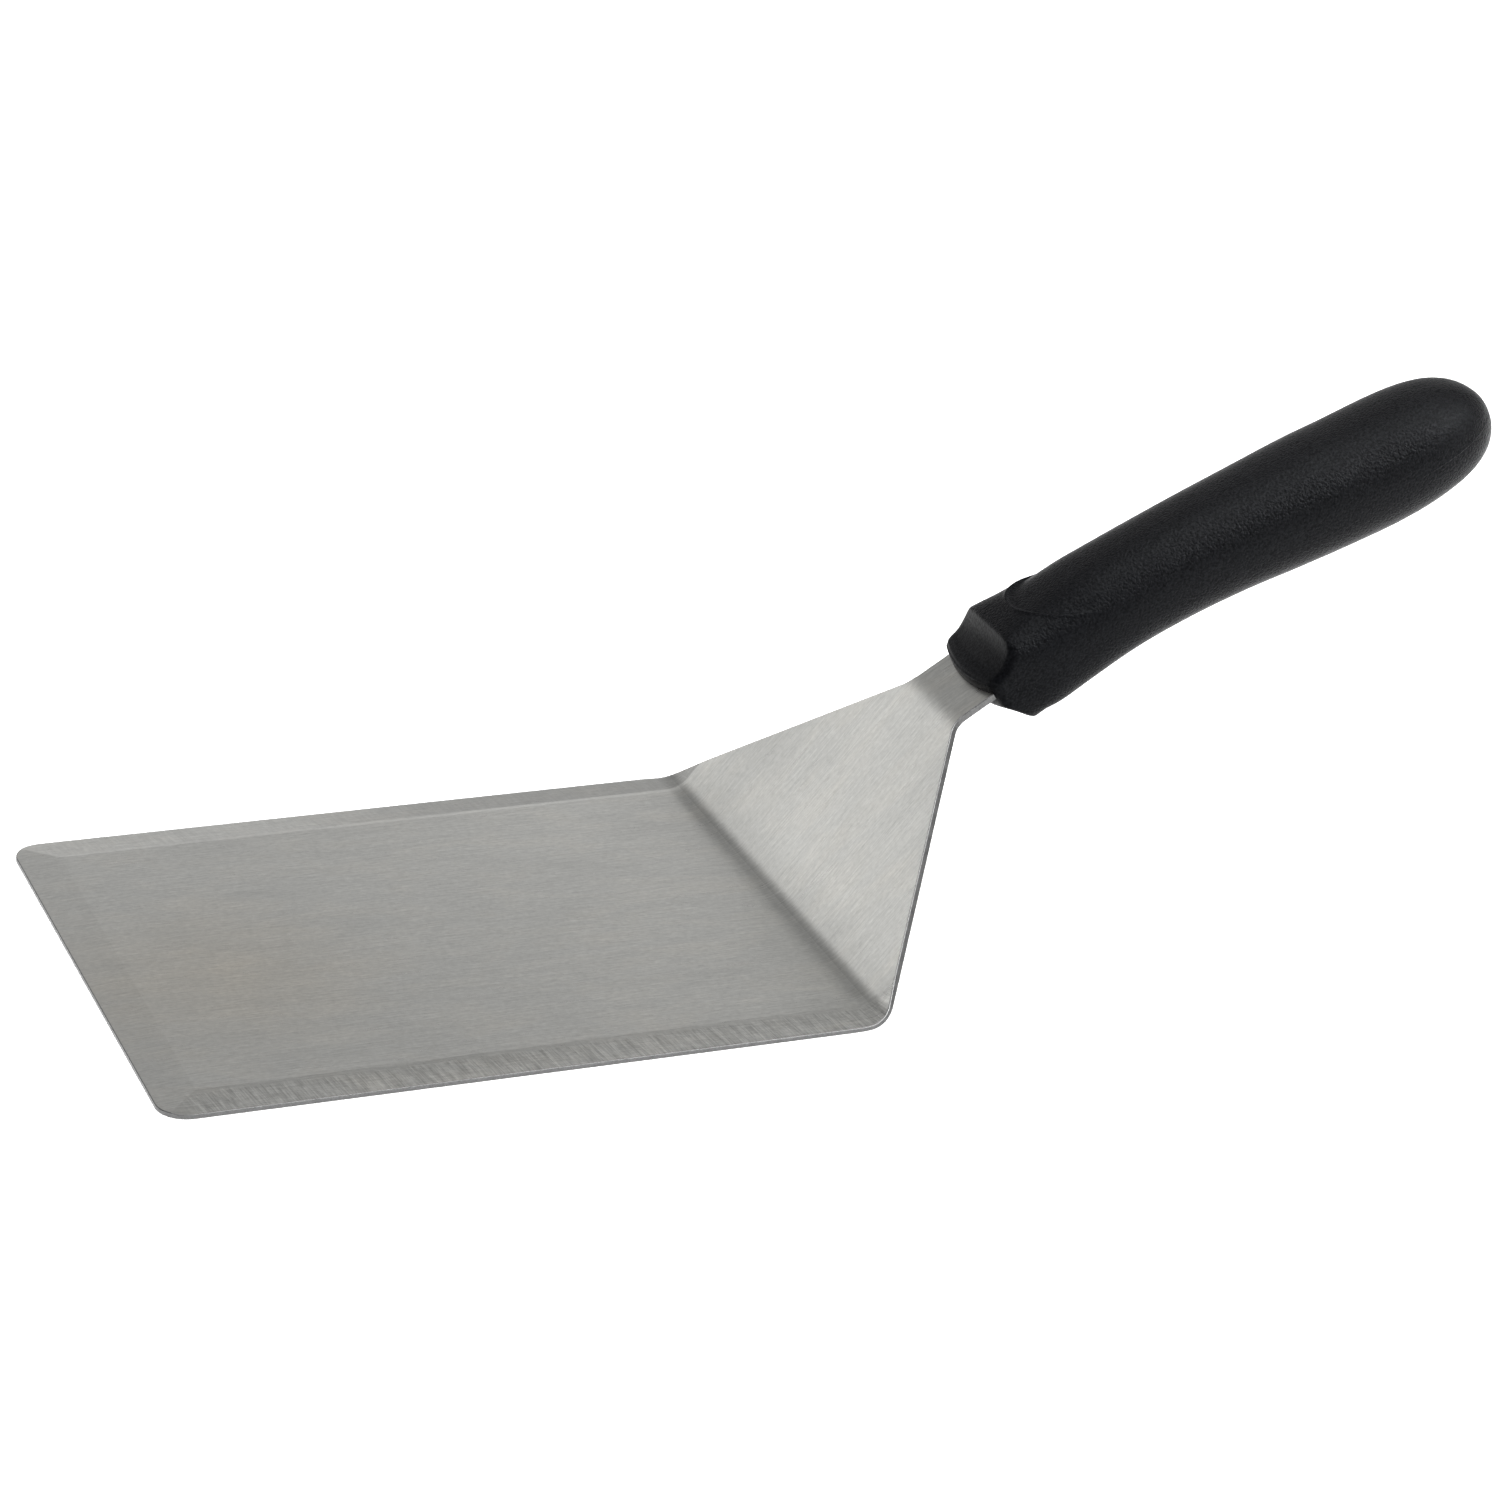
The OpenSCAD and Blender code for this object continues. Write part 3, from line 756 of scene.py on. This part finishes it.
def brushed_steel(ground=True):
    """A face of the sheet: brushed lengthwise, its ground bands scratched across, with painted
    shade at the foot of the riser.
    """
    m = Shader("ground steel" if ground else "brushed steel")
    at = blank_coordinates(m)
    streaks = grain(m, at)
    clouds = m.noise(m.stretch(at, 20.0, 9.0, 0.12), 1.0, 5.0, 0.62, 0.6)
    colour = steel_colour(m, at, streaks, clouds)
    split = m.add("SeparateXYZ", in0=at)
    # Painted shade: darkened towards black from the middle of the lower bend to a little way up
    # the riser.
    riser_foot_shade = m.math("MULTIPLY", m.math("GREATER_THAN", split.outputs[0], (LOWER_AT + LOWER_END) / 2),
                  m.ramp(split.outputs[0], LOWER_END - 2, LOWER_END + 9, 0.14, 0.0))
    colour = m.blend(riser_foot_shade, colour, (0, 0, 0, 1))
    height = m.math("MULTIPLY_ADD", streaks[0], 0.3, m.math("MULTIPLY", streaks[1], 0.8))
    if ground:
        colour, side, lines = ground_bands(m, at, colour)
        apart = m.math("SUBTRACT", lines, height)
        height = m.math("MULTIPLY_ADD", apart, side, height)
    rough = m.math("MULTIPLY_ADD", streaks[1], 0.10, 0.24)
    tangent = m.add("Tangent", {"direction_type": "UV_MAP", "uv_map": "blank"}).outputs[0]
    return m.finish(base_color=colour, metallic=1.0, roughness=rough, anisotropic=0.4,
                    tangent=tangent, normal=m.bump(height, 0.00001, 0.25))


def sheared_edge():
    """The sheet's rim, its steel painted very dark as painted shade: dark along its rounded top,
    brighter and nicked below.
    """
    m = Shader("sheared edge")
    at = blank_coordinates(m)
    depth = m.add("Attribute", {"attribute_name": "depth"}).outputs["Fac"]
    spots = m.noise(at, 0.5, 3.0, 0.6)
    nicks = m.noise(at, 2.2, 3.0, 0.65)
    # Painted shade: a steel tone far darker than the sheet's own, a little darker lower on the
    # rim.
    base = m.ramp(depth, 0.14, 0.42, 0.13, 0.11)
    tone = m.math("MULTIPLY_ADD", spots, 0.10, m.math("MULTIPLY_ADD", nicks, 0.08, -0.09))
    return m.finish(base_color=grey(m, m.math("ADD", base, tone)), metallic=1.0,
                    roughness=m.math("MULTIPLY_ADD", spots, 0.15, 0.34),
                    normal=m.bump(nicks, 0.00003, 0.5))


def grip_plastic():
    """Black moulded grip: spark-textured all over, smoother on the nose's faces, its reflection
    weakened as painted shade near the collar and underneath.
    """
    m = Shader("textured grip")
    spot = m.add("TexCoord").outputs["Object"]
    mask = m.add("Attribute", {"attribute_name": "nose_face"}).outputs["Fac"]
    patches = m.noise(spot, 60.0, 3.0, 0.55)
    pits = m.ramp(m.noise(spot, 1900.0, 2.0, 0.6), 0.25, 0.75)
    texture = m.math("MULTIPLY_ADD", m.noise(spot, 900.0, 2.0, 0.5), 0.8, pits)
    rough = m.math("MULTIPLY_ADD", mask, -0.06, m.math("MULTIPLY_ADD", patches, 0.08, 0.33))
    tone = m.math("MULTIPLY_ADD", pits, 0.0018, m.math("MULTIPLY_ADD", patches, 0.001, 0.0004))
    colour = grey(m, tone, m.math("MULTIPLY", tone, 1.05), m.math("MULTIPLY", tone, 1.35))
    strength = m.math("MULTIPLY_ADD", mask, -0.35, 0.45)
    along = m.add("Attribute", {"attribute_name": "along"}).outputs["Fac"]
    # Strength of the reflection: weaker near the collar as painted shade, and a little weaker on
    # the nose's faces.
    gloss_and_shade = m.math("MULTIPLY", m.ramp(along, 16, 75, 0.055, 0.078), m.ramp(mask, 0, 1, 1.0, 0.80))
    # Painted shade: faces turned downwards reflect less.
    facing = m.add("SeparateXYZ", in0=m.add("NewGeometry").outputs["Normal"]).outputs[2]
    gloss_and_shade = m.math("MULTIPLY", gloss_and_shade, m.ramp(facing, -0.6, 0.2, 0.55, 1.0))
    shine = m.math("MULTIPLY", gloss_and_shade, m.math("MULTIPLY_ADD", pits, 0.7, 0.65))
    return m.finish(base_color=colour, roughness=rough, specular_ior_level=shine,
                    specular_tint=(0.93, 0.97, 1.0, 1),
                    normal=m.bump(texture, 0.00022, strength))


def core_plastic():
    """The hidden inner moulding: plain dark plastic with a faint flow pattern."""
    m = Shader("core plastic")
    spot = m.add("TexCoord").outputs["Object"]
    flow = m.noise(spot, 90.0, 4.0, 0.6, 1.5)
    fine = m.noise(spot, 1500.0, 2.0, 0.5)
    tone = m.math("MULTIPLY_ADD", flow, 0.02, 0.02)
    colour = grey(m, tone, tone, m.math("MULTIPLY", tone, 1.1))
    return m.finish(base_color=colour, roughness=m.math("MULTIPLY_ADD", flow, 0.1, 0.42),
                    normal=m.bump(fine, 0.00005, 0.5))


def floor_paint():
    """Matt pale paper, with a very faint mottle."""
    m = Shader("pale floor")
    spot = m.add("TexCoord").outputs["Object"]
    mottle = m.noise(spot, 30.0, 3.0, 0.5)
    tone = m.math("MULTIPLY_ADD", mottle, 0.01, 0.93)
    return m.finish(base_color=grey(m, tone), roughness=0.9, specular_ior_level=0.1,
                    emission_color=(1, 1, 1, 1), emission_strength=FLOOR_GLOW)


def paint(piece, *materials):
    """Gives a piece its materials, keeping the index on each face."""
    kinds = np.zeros(len(piece.data.polygons), int)
    piece.data.polygons.foreach_get("material_index", kinds)
    piece.data.materials.clear()
    for material in materials:
        piece.data.materials.append(material)
    piece.data.polygons.foreach_set("material_index", np.minimum(kinds, len(materials) - 1))


# ------------------------------------------------------------------------ studio

def add_floor():
    """A wide pale sheet just under the blade."""
    work = bmesh.new()
    bmesh.ops.create_grid(work, x_segments=8, y_segments=8, size=6.0)
    mesh = bpy.data.meshes.new("floor")
    work.to_mesh(mesh)
    work.free()
    floor = new_object("floor", mesh)
    floor.location.z = -0.00005
    paint(floor, floor_paint())


def add_softbox(name, place, size, power, shadow):
    """A rectangular soft light that looks at the spatula."""
    data = bpy.data.lights.new(name, "AREA")
    data.shape, data.size, data.size_y = "RECTANGLE", size[0], size[1]
    data.energy, data.use_shadow = power, shadow
    light = bpy.data.objects.new(name, data)
    light.location = place
    towards = Vector(LAMP_TARGET) - Vector(place)
    light.rotation_euler = towards.to_track_quat("-Z", "Y").to_euler()
    bpy.context.scene.collection.objects.link(light)


def add_sky():
    """Plain studio surroundings: pale near the floor and greyer overhead."""
    world = bpy.data.worlds.new("studio")
    world.use_nodes = True
    tree = world.node_tree
    tree.nodes.clear()
    ray = tree.nodes.new("ShaderNodeTexCoord")
    split = tree.nodes.new("ShaderNodeSeparateXYZ")
    ramp = tree.nodes.new("ShaderNodeValToRGB")
    back = tree.nodes.new("ShaderNodeBackground")
    out = tree.nodes.new("ShaderNodeOutputWorld")
    tree.links.new(ray.outputs["Generated"], split.inputs[0])
    tree.links.new(split.outputs["Z"], ramp.inputs[0])
    tree.links.new(ramp.outputs[0], back.inputs["Color"])
    tree.links.new(back.outputs[0], out.inputs["Surface"])
    stops = ramp.color_ramp.elements
    for place, _ in SKY[1:-1]:
        stops.new(place)
    for stop, (_, tone) in zip(stops, SKY):
        stop.color = (tone, tone, tone, 1)
    back.inputs["Strength"].default_value = 1.0
    bpy.context.scene.world = world


def add_camera():
    """A long lens at the front left, a little above the spatula."""
    data = bpy.data.cameras.new("camera")
    data.sensor_fit, data.sensor_width, data.lens = "HORIZONTAL", SENSOR_WIDTH, FOCAL_LENGTH
    data.clip_start, data.clip_end = 0.05, 30.0
    camera = bpy.data.objects.new("camera", data)
    place = Vector(CAMERA_AT)
    aim = (Vector(CAMERA_TARGET) - place).to_track_quat("-Z", "Y").to_matrix().to_4x4()
    roll = Matrix.Rotation(CAMERA_ROLL, 4, "Z")
    camera.matrix_world = Matrix.Translation(place) @ aim @ roll
    bpy.context.scene.collection.objects.link(camera)
    bpy.context.scene.camera = camera


def add_studio():
    """Floor, surroundings, lights and camera."""
    bpy.context.scene.view_settings.view_transform = "Standard"
    add_floor()
    add_sky()
    for softbox in SOFTBOXES:
        add_softbox(*softbox)
    add_camera()


# -------------------------------------------------------------------------- main

def build():
    blade = make_blade()
    paint(blade, brushed_steel(), sheared_edge(), brushed_steel(ground=False))
    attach(blade, "root")
    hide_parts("blade")
    grip = make_grip(blade)
    paint(grip, grip_plastic())
    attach(grip, "root")
    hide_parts("handle_grip")
    paint(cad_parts["handle_core"], core_plastic())
    add_studio()


build()
